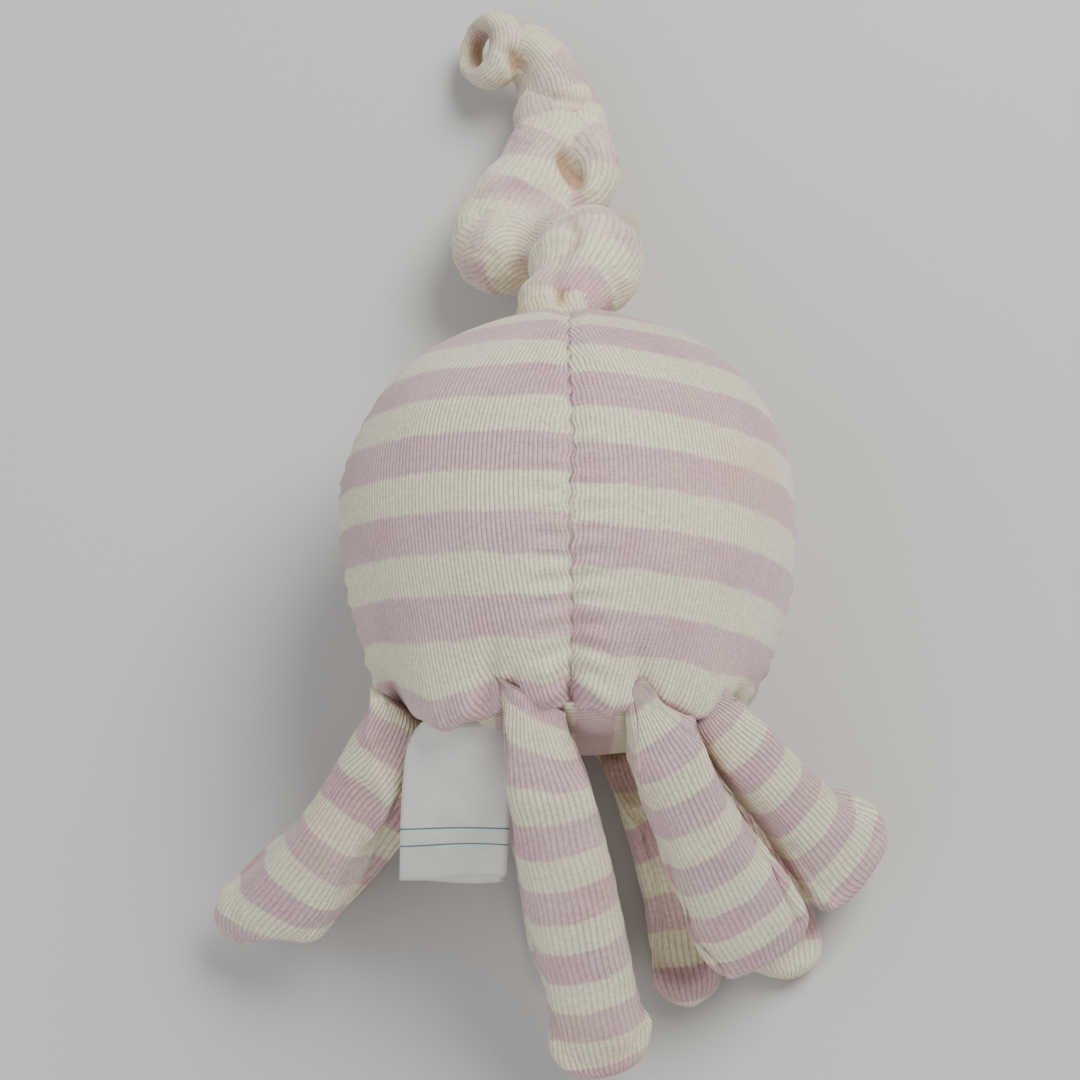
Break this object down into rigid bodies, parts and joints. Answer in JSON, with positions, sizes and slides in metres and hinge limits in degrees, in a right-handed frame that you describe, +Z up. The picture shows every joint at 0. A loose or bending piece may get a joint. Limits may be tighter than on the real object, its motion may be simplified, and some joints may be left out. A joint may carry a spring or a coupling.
{
  "type": "knitted octopus pull toy",
  "caption": "Stuffed knitted octopus lying on its face, with striped legs sewn round its base and a bunched pull-cord sleeve that ends in a hanging loop.",
  "frame": {"origin": "centre of the flat patch under the head, on the surface the toy lies on", "axes": "+Y from the legs to the hanging loop, +Z up from the face to the back of the head, +X to the right seen from above"},
  "size_m": [0.1812, 0.2958, 0.1089],
  "materials": {
    "striped_knit": "matte knit",
    "polyester_filling": "loose fibre",
    "embroidery_thread": "satin thread",
    "label_ribbon": "woven ribbon",
    "braided_cord": "braided",
    "housing_plastic": "moulded",
    "gear_plastic": "moulded",
    "bright_steel": "drawn",
    "spring_steel": "rolled strip",
    "weight_steel": "stamped"
  },
  "bodies": {
    "head": {"back_panel_left": "striped_knit", "back_panel_right": "striped_knit", "face_panel": "striped_knit", "base_panel": "striped_knit", "head_stuffing": "polyester_filling", "eye_left": "embroidery_thread", "eye_right": "embroidery_thread", "mouth_stitching": "embroidery_thread", "woven_label": "label_ribbon", "under_label": "label_ribbon", "pull_sleeve": "striped_knit", "sleeve_tab": "label_ribbon", "pull_cord": "braided_cord", "housing_base": "housing_plastic", "housing_cover": "housing_plastic", "housing_screws": "bright_steel", "cord_bush": "gear_plastic", "drum_axle": "bright_steel", "idler_axle": "bright_steel", "rotor_axle": "bright_steel", "mainspring": "spring_steel"},
    "pull_loop": {"hang_loop": "striped_knit", "cord_knot": "braided_cord"},
    "drum": {"cord_drum": "gear_plastic", "cord_coil": "braided_cord"},
    "idler": {"idler_gear": "gear_plastic"},
    "rotor": {"rotor_pinion": "gear_plastic", "rotor_weight": "weight_steel"},
    "leg_back_outer_left": {"leg_back_outer_left_skin": "striped_knit", "leg_back_outer_left_filling": "polyester_filling"},
    "leg_back_inner_left": {"leg_back_inner_left_skin": "striped_knit", "leg_back_inner_left_filling": "polyester_filling"},
    "leg_back_inner_right": {"leg_back_inner_right_skin": "striped_knit", "leg_back_inner_right_filling": "polyester_filling"},
    "leg_back_outer_right": {"leg_back_outer_right_skin": "striped_knit", "leg_back_outer_right_filling": "polyester_filling"},
    "leg_front_outer_left": {"leg_front_outer_left_skin": "striped_knit", "leg_front_outer_left_filling": "polyester_filling"},
    "leg_front_inner_left": {"leg_front_inner_left_skin": "striped_knit", "leg_front_inner_left_filling": "polyester_filling"},
    "leg_front_inner_right": {"leg_front_inner_right_skin": "striped_knit", "leg_front_inner_right_filling": "polyester_filling"},
    "leg_front_outer_right": {"leg_front_outer_right_skin": "striped_knit", "leg_front_outer_right_filling": "polyester_filling"}
  },
  "joints": [
    {"name": "loop_pull", "type": "slide", "parent": "head", "child": "pull_loop", "axis": [0, 1, 0], "range_m": [0, 0.06], "stiffness_N_per_m": 20, "springref_m": -0.1, "deforming": ["pull_sleeve", "pull_cord", "sleeve_tab"]},
    {"name": "drum_turn", "type": "hinge", "parent": "head", "child": "drum", "pos_m": [-0.009, 0, 0.05], "axis": [0, 0, 1], "continuous": true, "deforming": ["mainspring"]},
    {"name": "idler_turn", "type": "hinge", "parent": "head", "child": "idler", "pos_m": [0.00026, -0.01103, 0.0552], "axis": [0, 0, 1], "continuous": true},
    {"name": "rotor_turn", "type": "hinge", "parent": "head", "child": "rotor", "pos_m": [0.0121, -0.00672, 0.0553], "axis": [0, 0, 1], "continuous": true},
    {"name": "back_outer_left_lift", "type": "hinge", "parent": "head", "child": "leg_back_outer_left", "pos_m": [-0.04385, -0.06049, 0.05761], "axis": [-0.7618, 0.6478, 0], "range_deg": [0, 60]},
    {"name": "back_inner_left_lift", "type": "hinge", "parent": "head", "child": "leg_back_inner_left", "pos_m": [-0.00695, -0.06186, 0.08194], "axis": [-0.9768, -0.2144, 0], "range_deg": [0, 60]},
    {"name": "back_inner_right_lift", "type": "hinge", "parent": "head", "child": "leg_back_inner_right", "pos_m": [0.02136, -0.06059, 0.07885], "axis": [-0.8479, -0.5302, 0], "range_deg": [0, 60]},
    {"name": "back_outer_right_lift", "type": "hinge", "parent": "head", "child": "leg_back_outer_right", "pos_m": [0.04356, -0.05845, 0.0572], "axis": [-0.6361, -0.7716, 0], "range_deg": [0, 60]},
    {"name": "front_outer_left_swing", "type": "hinge", "parent": "head", "child": "leg_front_outer_left", "pos_m": [-0.04204, -0.0609, 0.02828], "axis": [-0.8297, 0.5583, 0], "range_deg": [-30, 0]},
    {"name": "front_inner_left_swing", "type": "hinge", "parent": "head", "child": "leg_front_inner_left", "pos_m": [-0.01275, -0.0642, 0.01153], "axis": [-0.9689, -0.2476, 0], "range_deg": [-30, 0]},
    {"name": "front_inner_right_swing", "type": "hinge", "parent": "head", "child": "leg_front_inner_right", "pos_m": [0.01711, -0.06422, 0.01157], "axis": [-0.978, -0.2084, 0], "range_deg": [-30, 0]},
    {"name": "front_outer_right_swing", "type": "hinge", "parent": "head", "child": "leg_front_outer_right", "pos_m": [0.04052, -0.06169, 0.02781], "axis": [-0.9274, -0.3741, 0], "range_deg": [-30, 0]}
  ],
  "couplings": [
    {"joint": "drum_turn", "follows": "loop_pull", "rad_per_m": 111.11},
    {"joint": "idler_turn", "follows": "loop_pull", "rad_per_m": -333.33},
    {"joint": "rotor_turn", "follows": "loop_pull", "rad_per_m": 833.33}
  ]
}
